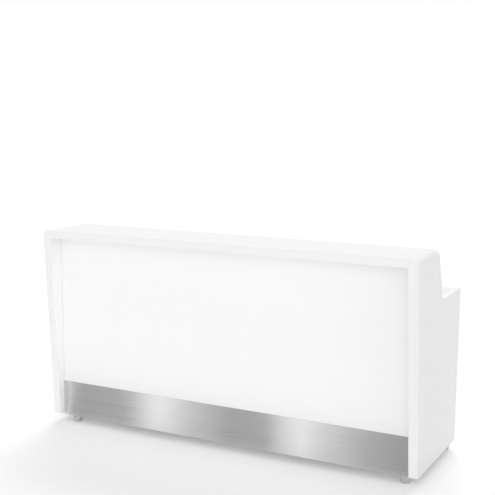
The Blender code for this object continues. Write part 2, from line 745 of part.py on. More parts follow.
rocker_x = INLET_X + ROCKER_OFFSET
well_half_width = ROCKER_WIDTH / 2 + ROCKER_PLAY
well_half_height = ROCKER_HEIGHT / 2 + ROCKER_PLAY
well_low = (rocker_x - well_half_width, INLET_FACE_Y - ROCKER_WELL, INLET_Z - well_half_height)
well_high = (rocker_x + well_half_width, PAST_FACE_Y, INLET_Z + well_half_height)
add_boolean(power_inlet, box_solid("rocker_well_cutter", well_low, well_high, black_plastic))


# Rocker
# A see-saw cap on two stub pivots; it rests pressed in at its upper end.
def pivot_rod(name, half_length, radius):
    ring = []
    for k in range(PIN_FACETS):
        turn = 2 * math.pi * k / PIN_FACETS
        ring.append((ROCKER_PIVOT_Y + radius * math.cos(turn), INLET_Z + radius * math.sin(turn)))
    mesh = extrude_along_x(ring, rocker_x - half_length, rocker_x + half_length)
    return add_piece(name, mesh, black_plastic)


ROCKER_PIVOT_Y = INLET_FACE_Y - ROCKER_DEPTH / 2
tilt = math.radians(ROCKER_TILT)
half_cap = ROCKER_HEIGHT / 2
crown_y = INLET_FACE_Y - ROCKER_PIVOT_Y
end_rise = half_cap * math.tan(tilt)
end_depth = ROCKER_DEPTH / 2
keel = 2 * PIVOT_RADIUS
rocker_outline = [
    (crown_y, 0.0),
    (crown_y + end_rise, half_cap - ROCKER_PLAY),
    (crown_y - end_depth, half_cap),
    (-end_depth, keel),
    (-end_depth, -keel),
    (crown_y - end_depth, -half_cap),
    (crown_y + end_rise, ROCKER_PLAY - half_cap),
]
rested = []
for y, z in rocker_outline:
    turned_y = y * math.cos(tilt) - z * math.sin(tilt)
    turned_z = y * math.sin(tilt) + z * math.cos(tilt)
    rested.append((ROCKER_PIVOT_Y + turned_y, INLET_Z + turned_z))
rocker_mesh = extrude_along_x(rested, rocker_x - ROCKER_WIDTH / 2, rocker_x + ROCKER_WIDTH / 2)
rocker = add_piece("switch_rocker", rocker_mesh, black_plastic,
                   origin=(rocker_x, ROCKER_PIVOT_Y, INLET_Z))
stub_half = ROCKER_WIDTH / 2 + PIVOT_LENGTH
bearing_half = stub_half + PIVOT_PLAY
add_boolean(rocker, pivot_rod("pivot_joiner", stub_half, PIVOT_RADIUS), "UNION")
add_boolean(power_inlet, pivot_rod("pivot_cutter", bearing_half, PIVOT_RADIUS + PIVOT_PLAY))

# Supply lead from the inlet to the driver
SUPPLY_START_Y = INLET_DEEP_Y - GAP
lead("supply_lead", bent_route([
    (INLET_X, SUPPLY_START_Y, INLET_Z),
    (INLET_X, DRIVER_Y, INLET_Z),
    (INLET_X + LEAD_TAIL, DRIVER_Y, LEAD_Z),
    (DRIVER_X_LOW - GAP, DRIVER_Y, LEAD_Z),
], LEAD_BEND))

# Levelling feet
# A post hangs from a flange under the body; the steel sleeve screws down on it.
FLANGE_TOP_Z = FOOT_HEIGHT - GAP
FLANGE_LOW_Z = FLANGE_TOP_Z - FLANGE
SLEEVE_TOP_Z = FLANGE_LOW_Z - SLEEVE_TOP_GAP
SLEEVE_LOW_Z = SOLE_PROUD
BORE_LOW_Z = SLEEVE_LOW_Z + SLEEVE_FLOOR
POST_LOW_Z = BORE_LOW_Z + GAP
foot_radius = FOOT_DIAMETER / 2
post_radius = POST_DIAMETER / 2
bore_radius = post_radius + POST_PLAY
sole_radius = SOLE_DIAMETER / 2
chamfer = ARRIS


def foot(place, x, y):
    centre = (x, y)
    turned(f"foot_mount_{place}", [
        (0.0, FLANGE_TOP_Z),
        (foot_radius - chamfer, FLANGE_TOP_Z),
        (foot_radius, FLANGE_TOP_Z - chamfer),
        (foot_radius, FLANGE_LOW_Z),
        (post_radius, FLANGE_LOW_Z),
        (post_radius, POST_LOW_Z + chamfer),
        (post_radius - chamfer, POST_LOW_Z),
        (0.0, POST_LOW_Z),
    ], centre, aluminium)
    bore = [(0.0, BORE_LOW_Z), (bore_radius, BORE_LOW_Z), (bore_radius, SLEEVE_TOP_Z)]
    rounded = arc(foot_radius - FOOT_EDGE, SLEEVE_LOW_Z + FOOT_EDGE, FOOT_EDGE, 0, -90, TOE_STEPS)
    recess = [
        (sole_radius + GAP, SLEEVE_LOW_Z),
        (sole_radius + GAP, SOLE + GAP),
        (0.0, SOLE + GAP),
    ]
    profile = bore + [(foot_radius, SLEEVE_TOP_Z)] + rounded + recess
    turned(f"foot_sleeve_{place}", profile, centre, stainless)
    turned(f"foot_sole_{place}", [
        (0.0, SOLE),
        (sole_radius, SOLE),
        (sole_radius, chamfer / 2),
        (sole_radius - chamfer / 2, 0.0),
        (0.0, 0.0),
    ], centre, sole_rubber)


front_foot_y = FRONT_TOE_Y + FOOT_FRONT_SETBACK
rear_foot_y = rear_y(FOOT_HEIGHT) - FOOT_REAR_SETBACK
foot("front_left", -LENGTH / 2 + FOOT_INSET_LEFT, front_foot_y)
foot("front_right", LENGTH / 2 - FOOT_INSET_RIGHT, front_foot_y)
foot("rear_left", -LENGTH / 2 + FOOT_INSET_REAR, rear_foot_y)
foot("rear_right", LENGTH / 2 - FOOT_INSET_REAR, rear_foot_y)
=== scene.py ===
import math

import bmesh
import bpy
from mathutils import Matrix, Vector


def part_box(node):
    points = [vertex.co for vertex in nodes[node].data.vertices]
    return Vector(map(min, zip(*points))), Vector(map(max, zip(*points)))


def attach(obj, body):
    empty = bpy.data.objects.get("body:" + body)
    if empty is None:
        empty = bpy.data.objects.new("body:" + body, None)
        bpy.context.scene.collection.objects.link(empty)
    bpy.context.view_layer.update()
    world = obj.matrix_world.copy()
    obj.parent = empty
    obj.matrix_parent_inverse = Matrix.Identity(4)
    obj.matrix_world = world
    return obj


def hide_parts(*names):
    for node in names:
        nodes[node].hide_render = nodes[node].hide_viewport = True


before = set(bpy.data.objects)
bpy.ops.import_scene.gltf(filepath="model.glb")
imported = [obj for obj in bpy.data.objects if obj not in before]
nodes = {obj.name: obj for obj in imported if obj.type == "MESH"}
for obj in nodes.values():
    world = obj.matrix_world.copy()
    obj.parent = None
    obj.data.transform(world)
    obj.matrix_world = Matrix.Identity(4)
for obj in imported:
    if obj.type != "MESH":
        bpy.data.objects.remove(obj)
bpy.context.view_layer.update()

# Carcass boards
# The bottom, partitions, shelves, battens and back are particle board faced with white
# melamine, which has a fine pearl grain. They are doweled between the end panels.

# A finish's shades are its darkest and its lightest grey. Its roughness is a base and what the
# grain adds to it, and its relief is a depth in metres.
BOARD_SHADES = (0.815, 0.84)
BOARD_GRAIN_PER_M = 1500.0
BOARD_CLOUD_PER_M = 6.0
BOARD_ROUGHNESS = (0.40, 0.12)
BOARD_RELIEF = 0.00005


class Signal:
    """A shader socket: sums on it add Math nodes, and node() adds any other node."""

    def __init__(self, tree, socket=None):
        self.tree = tree
        self.socket = socket

    def node(self, kind, settings=None, sockets=None, output=0):
        made = self.tree.nodes.new(kind)
        for name, value in (settings or {}).items():
            if name == "stops":
                ends = made.color_ramp.elements
                for k, (place, shade) in enumerate(value):
                    stop = ends[k] if k < 2 else ends.new(place)
                    stop.position = place
                    stop.color = (shade, shade, shade, 1.0)
            else:
                setattr(made, name, value)
        for key, value in (sockets or {}).items():
            if isinstance(value, Signal):
                self.tree.links.new(made.inputs[key], value.socket)
            else:
                made.inputs[key].default_value = value
        return Signal(self.tree, made.outputs[output])

    def maths(self, operation, *values):
        """A Math node on signals and plain values."""
        return self.node("ShaderNodeMath", {"operation": operation}, dict(enumerate(values)))

    def __add__(self, other):
        return self.maths("ADD", self, other)

    __radd__ = __add__

    def __sub__(self, other):
        return self.maths("SUBTRACT", self, other)

    def __rsub__(self, other):
        return self.maths("SUBTRACT", other, self)

    def __mul__(self, other):
        return self.maths("MULTIPLY", self, other)

    __rmul__ = __mul__

    def __truediv__(self, other):
        return self.maths("DIVIDE", self, other)


def new_finish(name, **constants):
    """A material, its shader set to the constants, and a signal of the mesh's own place."""
    material = bpy.data.materials.new(name)
    material.use_nodes = True
    shader = material.node_tree.nodes["Principled BSDF"]
    for socket, value in constants.items():
        shader.inputs[socket.replace("_", " ")].default_value = value
    place = Signal(material.node_tree).node("ShaderNodeTexCoord", output="Object")
    return material, shader, place


def feed(shader, socket, signal):
    """Link a signal to one of the shader's sockets."""
    signal.tree.links.new(shader.inputs[socket], signal.socket)


def noise(place, per_metre, stretch=(1.0, 1.0, 1.0), detail=2.0):
    """A noise of so many features a metre, a count that the stretch multiplies on each axis."""
    drawn = place.node("ShaderNodeMapping", {}, {"Vector": place, "Scale": stretch})
    sockets = {"Vector": drawn, "Scale": per_metre, "Detail": detail}
    return place.node("ShaderNodeTexNoise", {}, sockets, "Fac")


def shade(amount, dark, light):
    """A neutral colour between two greys."""
    ends = {0: amount, 6: (dark, dark, dark, 1.0), 7: (light, light, light, 1.0)}
    return amount.node("ShaderNodeMix", {"data_type": "RGBA"}, ends, 2)


def rise(amount, base, extra):
    """A value that rises above its base by a share of the extra."""
    return base + extra * amount


def relief(height, distance):
    """A normal that follows a height, its full depth in metres."""
    sockets = {"Height": height, "Distance": distance, "Strength": 1.0}
    return height.node("ShaderNodeBump", {}, sockets, "Normal")


melamine, shader, place = new_finish("melamine")
pearl = noise(place, BOARD_GRAIN_PER_M)
cloud = noise(place, BOARD_CLOUD_PER_M)
feed(shader, "Base Color", shade(cloud, *BOARD_SHADES))
feed(shader, "Roughness", rise(pearl, *BOARD_ROUGHNESS))
feed(shader, "Normal", relief(pearl, BOARD_RELIEF))


def refinish(material, *names):
    """Give CAD nodes their finish."""
    for name in names:
        nodes[name].material_slots[0].material = material


refinish(melamine, "bottom_board", "back_panel", "partition_1", "partition_2",
         "shelf_left", "shelf_centre", "shelf_right", "riser_batten_top", "riser_batten_low",
         "plinth_backing", "light_box_floor")

# Edge bands
# The boards' open rear edges are closed with a thin glued plastic band, its corners scraped
# round. A band covers its board's edge and follows the lean of the counter's rear.
BAND = 0.0010
BAND_ROUND = 0.0006
BAND_SEGMENTS = 3
GLUE_LINE = 0.0002
NEAR = 0.0001


def block(name, low, high):
    """A box primitive between two corners, with its place in its mesh."""
    bpy.ops.object.select_all(action="DESELECT")
    centre = [(a + b) / 2 for a, b in zip(low, high)]
    bpy.ops.mesh.primitive_cube_add(size=1.0, location=centre)
    piece = bpy.context.object
    piece.name = name
    piece.scale = [b - a for a, b in zip(low, high)]
    bpy.ops.object.transform_apply(location=True, rotation=True, scale=True)
    return piece


def middle(item):
    """Middle of an edge or a face."""
    return sum((v.co for v in item.verts), Vector()) / len(item.verts)


def choose(piece, kind, test):
    """Go into edit mode and select the vertices, edges or faces that pass the test."""
    bpy.context.view_layer.objects.active = piece
    bpy.ops.object.mode_set(mode="EDIT")
    bpy.ops.mesh.select_mode(type=kind)
    bpy.ops.mesh.select_all(action="DESELECT")
    mesh = bmesh.from_edit_mesh(piece.data)
    mesh.normal_update()
    for item in {"VERT": mesh.verts, "EDGE": mesh.edges, "FACE": mesh.faces}[kind]:
        if test(item):
            item.select_set(True)
    bmesh.update_edit_mesh(piece.data)


def shift(piece, test, step):
    """Move the vertices that pass the test."""
    choose(piece, "VERT", test)
    bpy.ops.transform.translate(value=step)
    bpy.ops.object.mode_set(mode="OBJECT")


def round_off(piece, radius, segments, test):
    """Bevel the edges that pass the test to a round of that radius."""
    choose(piece, "EDGE", test)
    bpy.ops.mesh.bevel(offset=radius, offset_type="OFFSET", segments=segments, affect="EDGES",
                       clamp_overlap=True)
    bpy.ops.object.mode_set(mode="OBJECT")


def outward(edge, least_degrees=30.0):
    """True on an outward corner."""
    return edge.calc_face_angle_signed(0.0) > math.radians(least_degrees)


def smooth(piece, below_degrees=40.0):
    """Smooth shading on rounds, with flat faces left flat."""
    bpy.ops.object.select_all(action="DESELECT")
    piece.select_set(True)
    bpy.context.view_layer.objects.active = piece
    bpy.ops.object.shade_smooth_by_angle(angle=math.radians(below_degrees))
    flat = piece.modifiers.new("flat_faces", "WEIGHTED_NORMAL")
    flat.keep_sharp = True
    bpy.ops.object.modifier_apply(modifier=flat.name)


def fit(piece, material, body, slot, *stands_for):
    """Finish a piece and fix it to a body."""
    piece.data.materials.clear()
    piece.data.materials.append(material)
    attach(piece, body)
    if stands_for:
        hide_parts(*stands_for)


def edge_band(board):
    """A band over the leaning rear edge of a carcass board."""
    low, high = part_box(board)
    lowest_rear = max(v.co.y for v in nodes[board].data.vertices if v.co.z < low.z + NEAR)
    seat_low = lowest_rear + GLUE_LINE
    seat_high = high.y + GLUE_LINE
    band = block(f"band_{board}", (low.x, seat_low, low.z), (high.x, seat_low + BAND, high.z))
    shift(band, lambda v: v.co.z > high.z - NEAR, (0.0, seat_high - seat_low, 0.0))
    round_off(band, BAND_ROUND, BAND_SEGMENTS,
              lambda e: outward(e) and middle(e).y > seat_low + BAND / 2)
    smooth(band)
    fit(band, melamine, "counter", "white_board")


for board in ("bottom_board", "partition_1", "partition_2", "shelf_left", "shelf_centre",
              "shelf_right"):
    edge_band(board)

# End panels
# Each is a thick fibreboard slab under a satin white lacquer, sanded so that every edge is
# eased. The outer top edge is rounded from front to back, and so are the slab's two toes.
BAR_DEPTH = 0.341
FRONT_OVERHANG = 0.066
RISER_SETBACK = 0.082
REAR_UNDERCUT = 0.053
CORNER_RADIUS = 0.033
TOE_RADIUS = 0.012
ARRIS = 0.0015
CORNER_SEGMENTS = 20
TOE_SEGMENTS = 8
ARRIS_SEGMENTS = 3
FACING = 0.9
LACQUER_SHADES = (0.885, 0.900)
LACQUER_ROUGHNESS = (0.30, 0.10)
LACQUER_PEEL_PER_M = 240.0
LACQUER_HAZE_PER_M = 2.5
LACQUER_RELIEF = 0.00003

lacquer, shader, place = new_finish("satin_lacquer")
peel = noise(place, LACQUER_PEEL_PER_M, detail=1.0)
haze = noise(place, LACQUER_HAZE_PER_M, detail=3.0)
feed(shader, "Base Color", shade(haze, *LACQUER_SHADES))
feed(shader, "Roughness", rise(haze, *LACQUER_ROUGHNESS))
feed(shader, "Normal", relief(peel, LACQUER_RELIEF))

panel_low, panel_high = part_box("end_panel_left")
FOOT_Z = panel_low.z
BAR_Z = panel_high.z
WORK_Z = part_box("work_top")[1].z
BAR_FRONT_Y = panel_low.y
WORK_REAR_Y = panel_high.y
STEP_Y = BAR_FRONT_Y + BAR_DEPTH + RISER_SETBACK


def front_y(z):
    """Leaning front plane of the end panels and the bar top."""
    return BAR_FRONT_Y + FRONT_OVERHANG * (BAR_Z - z) / (BAR_Z - FOOT_Z)


def riser_y(z):
    """Leaning staff side of the riser."""
    return STEP_Y - RISER_SETBACK * (z - WORK_Z) / (BAR_Z - WORK_Z)


def level_edge(edge, z):
    """True on an outward edge that lies level at a height."""
    return all(abs(v.co.z - z) < NEAR for v in edge.verts) and outward(edge)


def end_panel(name, inner_x, outer_x):
    """A slab up to the work top, whose front part is then drawn up to the bar's height."""
    low_x, high_x = sorted((inner_x, outer_x))
    rear_low_y = WORK_REAR_Y - REAR_UNDERCUT
    panel = block(f"slab_{name}", (low_x, front_y(FOOT_Z), FOOT_Z), (high_x, rear_low_y, WORK_Z))
    shift(panel, lambda v: v.co.z > WORK_Z - NEAR and v.co.y > 0, (0.0, REAR_UNDERCUT, 0.0))
    front_step = front_y(WORK_Z) - front_y(FOOT_Z)
    shift(panel, lambda v: v.co.z > WORK_Z - NEAR and v.co.y < 0, (0.0, front_step, 0.0))
    choose(panel, "FACE", lambda f: True)
    bpy.ops.mesh.bisect(plane_co=(0.0, STEP_Y, 0.0), plane_no=(0.0, 1.0, 0.0))
    choose(panel, "FACE", lambda f: f.normal.z > FACING and middle(f).y < STEP_Y)
    bpy.ops.mesh.extrude_region_move(
        TRANSFORM_OT_translate={"value": (0.0, 0.0, BAR_Z - WORK_Z)})
    bpy.ops.object.mode_set(mode="OBJECT")
    shift(panel, lambda v: v.co.z > BAR_Z - NEAR and v.co.y > 0, (0.0, -RISER_SETBACK, 0.0))
    front_rise = front_y(BAR_Z) - front_y(WORK_Z)
    shift(panel, lambda v: v.co.z > BAR_Z - NEAR and v.co.y < front_y(WORK_Z) + NEAR,
          (0.0, front_rise, 0.0))
    round_off(panel, CORNER_RADIUS, CORNER_SEGMENTS,
              lambda e: level_edge(e, BAR_Z) and abs(middle(e).x - outer_x) < NEAR)
    round_off(panel, TOE_RADIUS, TOE_SEGMENTS,
              lambda e: level_edge(e, FOOT_Z) and abs(e.verts[0].co.x - e.verts[1].co.x) > NEAR)
    round_off(panel, ARRIS, ARRIS_SEGMENTS, outward)
    smooth(panel)
    fit(panel, lacquer, "counter", "white_lacquer", name)


end_panel("end_panel_left", panel_high.x, panel_low.x)
end_panel("end_panel_right", *(v.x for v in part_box("end_panel_right")))

# Bar top, riser and work top
# The bar top is as thick as the end panels and let in between them, with a hairline joint.
# The riser leans down into a rebate of the thinner work top. All three have the same lacquer.
RISER_HOUSING = 0.006
JOINT = 0.0003


def long_way(edge):
    """True on an outward edge that runs along the counter."""
    runs = abs(edge.verts[0].co.x - edge.verts[1].co.x) > NEAR
    return runs and outward(edge, least_degrees=20.0)


bar_low, bar_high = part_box("bar_top")
slab = block("slab_bar_top", bar_low, (bar_high.x, riser_y(bar_low.z), bar_high.z))
shift(slab, lambda v: v.co.z < bar_low.z + NEAR and v.co.y < 0,
      (0.0, front_y(bar_low.z) - bar_low.y, 0.0))
shift(slab, lambda v: v.co.z > bar_high.z - NEAR and v.co.y > riser_y(bar_low.z) - NEAR,
      (0.0, riser_y(bar_high.z) - riser_y(bar_low.z), 0.0))
round_off(slab, ARRIS, ARRIS_SEGMENTS, long_way)
smooth(slab)
fit(slab, lacquer, "counter", "white_lacquer", "bar_top")

work_low, work_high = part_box("work_top")
housing_z = WORK_Z - RISER_HOUSING
face_front_y = STEP_Y + JOINT
housing_y = riser_y(housing_z) + JOINT
work_lean = REAR_UNDERCUT / (WORK_Z - FOOT_Z)
slab = block("slab_work_top", work_low, (work_high.x, work_high.y, housing_z))
choose(slab, "FACE", lambda f: True)
bpy.ops.mesh.bisect(plane_co=(0.0, housing_y, 0.0), plane_no=(0.0, 1.0, 0.0))
choose(slab, "FACE", lambda f: f.normal.z > FACING and middle(f).y > housing_y)
bpy.ops.mesh.extrude_region_move(TRANSFORM_OT_translate={"value": (0.0, 0.0, RISER_HOUSING)})
bpy.ops.object.mode_set(mode="OBJECT")
shift(slab, lambda v: v.co.z > housing_z + NEAR and v.co.y < housing_y + NEAR,
      (0.0, face_front_y - housing_y, 0.0))
for level_z in (work_low.z, housing_z):
    shift(slab, lambda v: abs(v.co.z - level_z) < NEAR and v.co.y > work_high.y - NEAR,
          (0.0, -work_lean * (WORK_Z - level_z), 0.0))
round_off(slab, ARRIS, ARRIS_SEGMENTS, long_way)
smooth(slab)
fit(slab, lacquer, "counter", "white_lacquer", "work_top")
refinish(lacquer, "riser_panel")

# Plinth
# A stainless sheet brushed along its length, glued to the plinth board before the channel's
# lip. It hangs a little below the bottom board, where its edge is hemmed.
PLATE = 0.0012
HEM_GAP = 0.0006
HEM = 0.0070
# A little under half the hem's depth, so that its two bends keep a narrow flat between them.
BEND_RADIUS = PLATE + HEM_GAP / 2.2
BEND_SEGMENTS = 6
STEEL_SHADES = (0.59, 0.79)
BRUSH_LONG = (5.0, 1.0, 2600.0)
BRUSH_BROAD = (0.9, 1.0, 420.0)
FINE_SHARE = 0.5
BRUSH_ROUGHNESS = (0.14, 0.14)
BRUSH_RELIEF = 0.00004

brushed, shader, place = new_finish("brushed_steel", Metallic=1.0, Anisotropic=1.0,
                                    Anisotropic_Rotation=0.25)
fine = noise(place, 1.0, BRUSH_LONG, detail=1.0)
broad = noise(place, 1.0, BRUSH_BROAD)
brushing = FINE_SHARE * fine + (1.0 - FINE_SHARE) * broad
feed(shader, "Base Color", shade(brushing, *STEEL_SHADES))
feed(shader, "Roughness", rise(broad, *BRUSH_ROUGHNESS))
feed(shader, "Normal", relief(fine, BRUSH_RELIEF))

plate_low, plate_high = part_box("plinth_plate")
bpy.ops.object.select_all(action="DESELECT")
bpy.ops.mesh.primitive_plane_add(size=1.0, rotation=(math.pi / 2, 0.0, 0.0), location=(
    0.0, plate_low.y, (plate_low.z + plate_high.z) / 2))
sheet = bpy.context.object
sheet.name = "sheet_plinth"
sheet.scale = (plate_high.x - plate_low.x, plate_high.z - plate_low.z, 1.0)
bpy.ops.object.transform_apply(location=True, rotation=True, scale=True)
choose(sheet, "EDGE", lambda e: middle(e).z < plate_low.z + NEAR)
hem_depth = 2 * PLATE + HEM_GAP
bpy.ops.mesh.extrude_region_move(TRANSFORM_OT_translate={"value": (0.0, hem_depth, 0.0)})
bpy.ops.mesh.extrude_region_move(TRANSFORM_OT_translate={"value": (0.0, 0.0, HEM)})
bpy.ops.mesh.select_all(action="SELECT")
bpy.ops.mesh.normals_make_consistent(inside=False)
bpy.ops.object.mode_set(mode="OBJECT")
round_off(sheet, BEND_RADIUS, BEND_SEGMENTS, lambda e: outward(e, least_degrees=60.0))
wall = sheet.modifiers.new("wall", "SOLIDIFY")
wall.thickness = PLATE
wall.offset = -1.0
bpy.context.view_layer.objects.active = sheet
bpy.ops.object.modifier_apply(modifier=wall.name)
smooth(sheet)
fit(sheet, brushed, "counter", "brushed_stainless", "plinth_plate")

# Levelling feet
# Each foot is a threaded aluminium post under a round flange, a satin steel sleeve that screws
# on the post, and a rubber sole let into the sleeve.
FOOT_FACETS = 96
FOOT_EDGE = 0.004
FOOT_EDGE_SEGMENTS = 8
POST_RADIUS = 0.017
BORE_RADIUS = 0.0173
BORE_FLOOR_Z = 0.007
SOLE_RADIUS = 0.021
SOLE_SEAT = 0.0003
THREAD_PITCH = 0.0020
THREAD_DEPTH = 0.0009
THREAD_STEPS = 48
SPARE_TURNS = 2
MERGE = 0.00001
FLANGE_GAP = 0.0004
FOOT_CHAMFER = 0.0015
CHAMFER_SEGMENTS = 2
TURNED_RINGS = (40.0, 40.0, 3000.0)
TURNED_SHADES = (0.56, 0.62)
TURNED_ROUGHNESS = (0.08, 0.06)
TURNED_RELIEF = 0.00002
DRAWN_LINES = (4.0, 900.0, 900.0)
ALUMINIUM_SHADES = (0.74, 0.82)
ALUMINIUM_ROUGHNESS = (0.30, 0.12)
ALUMINIUM_RELIEF = 0.00003

turned_steel, shader, place = new_finish("turned_steel", Metallic=1.0)
rings = noise(place, 1.0, TURNED_RINGS, detail=1.0)
feed(shader, "Base Color", shade(rings, *TURNED_SHADES))
feed(shader, "Roughness", rise(rings, *TURNED_ROUGHNESS))
feed(shader, "Normal", relief(rings, TURNED_RELIEF))

aluminium, shader, place = new_finish("mill_aluminium", Metallic=1.0)
drawn = noise(place, 1.0, DRAWN_LINES)
feed(shader, "Base Color", shade(drawn, *ALUMINIUM_SHADES))
feed(shader, "Roughness", rise(drawn, *ALUMINIUM_ROUGHNESS))
feed(shader, "Normal", relief(drawn, ALUMINIUM_RELIEF))


def grained(name, per_metre, shades, roughness, depth, **constants):
    """A plain finish, whose grey, roughness and relief follow one fine grain."""
    material, shader, place = new_finish(name, **constants)
    grain = noise(place, per_metre)
    feed(shader, "Base Color", shade(grain, *shades))
    feed(shader, "Roughness", rise(grain, *roughness))
    feed(shader, "Normal", relief(grain, depth))
    return material


rubber = grained("sole_rubber", per_metre=900.0, shades=(0.045, 0.07), roughness=(0.72, 0.16),
                 depth=0.0001, Specular_IOR_Level=0.3)


def round_bar(name, radius, low_z, high_z, centre):
    """An upright cylinder primitive, with its place in its mesh."""
    bpy.ops.object.select_all(action="DESELECT")
    bpy.ops.mesh.primitive_cylinder_add(
        vertices=FOOT_FACETS, radius=radius, depth=high_z - low_z,
        location=(centre[0], centre[1], (low_z + high_z) / 2))
    piece = bpy.context.object
    piece.name = name
    bpy.ops.object.transform_apply(location=True, rotation=True, scale=True)
    return piece


def sink(piece, up, inset, depth):
    """Inset an end face and push it into the piece."""
    level = max(up * v.co.z for v in piece.data.vertices)
    choose(piece, "FACE",
           lambda f: f.normal.z * up > FACING and up * middle(f).z > level - NEAR)
    bpy.ops.mesh.inset(thickness=inset)
    bpy.ops.mesh.extrude_region_move(TRANSFORM_OT_translate={"value": (0.0, 0.0, -up * depth)})
    bpy.ops.object.mode_set(mode="OBJECT")


def threaded_post(name, low_z, high_z, centre):
    """One tooth of the thread, screwed round the axis and cut off square at both ends."""
    bpy.ops.object.select_all(action="DESELECT")
    bpy.ops.mesh.primitive_plane_add(size=THREAD_PITCH, rotation=(math.pi / 2, 0.0, 0.0),
                                     location=(POST_RADIUS - THREAD_PITCH / 2, 0.0, low_z))
    post = bpy.context.object
    post.name = name
    bpy.ops.object.transform_apply(location=True, rotation=True, scale=True)
    choose(post, "VERT", lambda v: v.co.x < POST_RADIUS - NEAR)
    bpy.ops.mesh.delete(type="VERT")
    choose(post, "EDGE", lambda e: True)
    bpy.ops.mesh.subdivide(number_cuts=1)
    bpy.ops.object.mode_set(mode="OBJECT")
    shift(post, lambda v: abs(v.co.z - low_z) > THREAD_PITCH / 4, (-THREAD_DEPTH, 0.0, 0.0))
    turn = post.modifiers.new("turn", "SCREW")
    turn.axis = "Z"
    turn.screw_offset = THREAD_PITCH
    turn.iterations = math.ceil((high_z - low_z) / THREAD_PITCH) + SPARE_TURNS
    turn.steps = THREAD_STEPS
    turn.render_steps = THREAD_STEPS
    turn.use_merge_vertices = True
    turn.merge_threshold = MERGE
    bpy.ops.object.modifier_apply(modifier=turn.name)
    shift(post, lambda v: True, (0.0, 0.0, -THREAD_PITCH))
    for plane_z, outward_z in ((low_z, -1.0), (high_z, 1.0)):
        choose(post, "FACE", lambda f: True)
        bpy.ops.mesh.remove_doubles(threshold=MERGE)
        bpy.ops.mesh.bisect(plane_co=(0.0, 0.0, plane_z), plane_no=(0.0, 0.0, outward_z),
                            use_fill=True, clear_outer=True)
    bpy.ops.mesh.select_all(action="SELECT")
    bpy.ops.mesh.normals_make_consistent(inside=False)
    bpy.ops.object.mode_set(mode="OBJECT")
    shift(post, lambda v: True, (centre[0], centre[1], 0.0))
    return post


def copy_to(piece, name, step):
    """A copy with its own mesh, moved by a step."""
    twin = piece.copy()
    twin.data = piece.data.copy()
    twin.data.transform(Matrix.Translation(step))
    twin.name = name
    bpy.context.scene.collection.objects.link(twin)
    return twin


def foot_centre(place_name):
    """The foot's axis, at floor level."""
    low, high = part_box(f"foot_sleeve_{place_name}")
    return Vector(((low.x + high.x) / 2, (low.y + high.y) / 2, 0.0))


sleeve_low, sleeve_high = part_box("foot_sleeve_front_left")
mount_low, mount_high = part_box("foot_mount_front_left")
sole_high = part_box("foot_sole_front_left")[1]
foot_radius = (sleeve_high.x - sleeve_low.x) / 2
flange_low_z = sleeve_high.z + FLANGE_GAP
first = foot_centre("front_left")

sleeve = round_bar("sleeve_front_left", foot_radius, sleeve_low.z, sleeve_high.z, first)
round_off(sleeve, FOOT_EDGE, FOOT_EDGE_SEGMENTS, lambda e: level_edge(e, sleeve_low.z))
sink(sleeve, 1.0, foot_radius - BORE_RADIUS, sleeve_high.z - BORE_FLOOR_Z)
sink(sleeve, -1.0, foot_radius - FOOT_EDGE - SOLE_RADIUS - SOLE_SEAT,
     sole_high.z + SOLE_SEAT - sleeve_low.z)
smooth(sleeve)

flange = round_bar("flange_front_left", foot_radius, flange_low_z, mount_high.z, first)
round_off(flange, FOOT_CHAMFER, CHAMFER_SEGMENTS, lambda e: level_edge(e, mount_high.z))
smooth(flange)
post = threaded_post("post_front_left", mount_low.z, flange_low_z, first)
smooth(post, below_degrees=20.0)
sole = round_bar("sole_front_left", SOLE_RADIUS, 0.0, sole_high.z, first)
round_off(sole, FOOT_CHAMFER / 2, CHAMFER_SEGMENTS, lambda e: level_edge(e, 0.0))
smooth(sole)

for place_name in ("front_left", "front_right", "rear_left", "rear_right"):
    parts = [sleeve, flange, post, sole]
    if place_name != "front_left":
        step = foot_centre(place_name) - first
        parts = [copy_to(part, part.name.replace("front_left", place_name), step)
                 for part in parts]
    fit(parts[0], turned_steel, f"foot_{place_name}", "brushed_stainless",
        f"foot_sleeve_{place_name}")
    fit(parts[1], aluminium, "counter", "natural_aluminium", f"foot_mount_{place_name}")
    fit(parts[2], aluminium, "counter", "natural_aluminium", f"foot_mount_{place_name}")
    fit(parts[3], rubber, f"foot_{place_name}", "sole_rubber", f"foot_sole_{place_name}")

# Shelf pins
# Each shelf lies on four turned steel pins. They are pushed into the sides of its bay up to a
# thin collar, so that the shelf lifts off.
PIN_RADIUS = 0.0025
PIN_REACH = 0.009
COLLAR_RADIUS = 0.004
COLLAR = 0.0012
COLLAR_EDGE = 0.0004
COLLAR_SEGMENTS = 2
PIN_FACETS = 24
PIN_PLACES_Y = (-0.112, 0.272)
SIDE_PLAY = 0.0001


